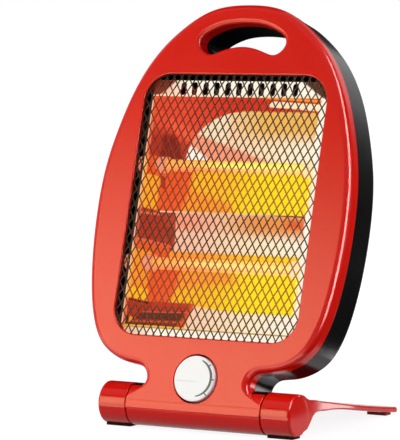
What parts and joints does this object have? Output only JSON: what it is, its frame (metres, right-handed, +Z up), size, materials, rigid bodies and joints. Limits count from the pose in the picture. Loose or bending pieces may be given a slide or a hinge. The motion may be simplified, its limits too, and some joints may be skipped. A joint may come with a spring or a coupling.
{
  "type": "halogen heater",
  "caption": "Folding two-tube halogen heater: leaning egg-shaped head with wire guard, hand hole and selector knob, hinged on a barrel foot.",
  "frame": {"origin": "middle of the overall footprint, on the floor", "axes": "+Z up, +Y to the back, +X to the viewer's right; the heater faces -Y"},
  "size_m": [0.236, 0.2035, 0.3462],
  "materials": {
    "red_plastic": "glossy red moulded plastic",
    "black_plastic": "glossy black moulded plastic",
    "white_plastic": "white knob with printed scale",
    "rubber": "matt rubber",
    "steel": "zinc-plated steel",
    "wire_steel": "plated wire",
    "dark_steel": "heat-tinted dark steel",
    "reflector_metal": "polished reflector sheet",
    "quartz": "glowing quartz",
    "filament": "glowing winding",
    "ceramic": "unglazed ceramic",
    "brass": "plain brass"
  },
  "bodies": {
    "foot": {"foot": "red_plastic", "foot_pads_front": "rubber", "foot_pads_rear": "rubber", "foot_screws": "steel", "hinge_pin_left": "steel", "hinge_pin_right": "steel", "friction_washer_left": "steel", "friction_washer_right": "steel"},
    "head": {"front_shell": "red_plastic", "rear_shell": "black_plastic", "shell_screws": "steel", "cord_gland": "black_plastic", "guard_mesh": "wire_steel", "guard_frame": "dark_steel", "reflector": "reflector_metal", "reflector_end_left": "reflector_metal", "reflector_end_right": "reflector_metal", "bracket_left": "dark_steel", "bracket_right": "dark_steel", "bracket_screws": "steel", "heat_shield": "steel", "quartz_tube_upper": "quartz", "quartz_tube_lower": "quartz", "filament_upper": "filament", "filament_lower": "filament", "ceramic_caps_upper": "ceramic", "ceramic_caps_lower": "ceramic", "selector_switch": "black_plastic", "selector_nut": "brass", "tip_switch_case": "black_plastic", "tip_switch_pin": "steel", "thermal_cutout": "black_plastic", "terminal_block": "ceramic", "terminal_screws": "brass"},
    "knob": {"knob": "white_plastic", "knob_shaft": "steel"},
    "tip_weight": {"tip_pendulum": "brass"}
  },
  "joints": [
    {"name": "head_tilt", "type": "hinge", "parent": "foot", "child": "head", "pos_m": [0, -0.08415, 0.0185], "axis": [1, 0, 0], "range_deg": [-14.5, 15.1]},
    {"name": "knob_turn", "type": "hinge", "parent": "head", "child": "knob", "pos_m": [0, -0.09527, 0.04387], "axis": [0, -0.9655, 0.2605], "range_deg": [0, 180]},
    {"name": "tip_swing", "type": "hinge", "parent": "head", "child": "tip_weight", "pos_m": [0.05, -0.06601, 0.06788], "axis": [1, 0, 0], "range_deg": [-24, 24]}
  ]
}
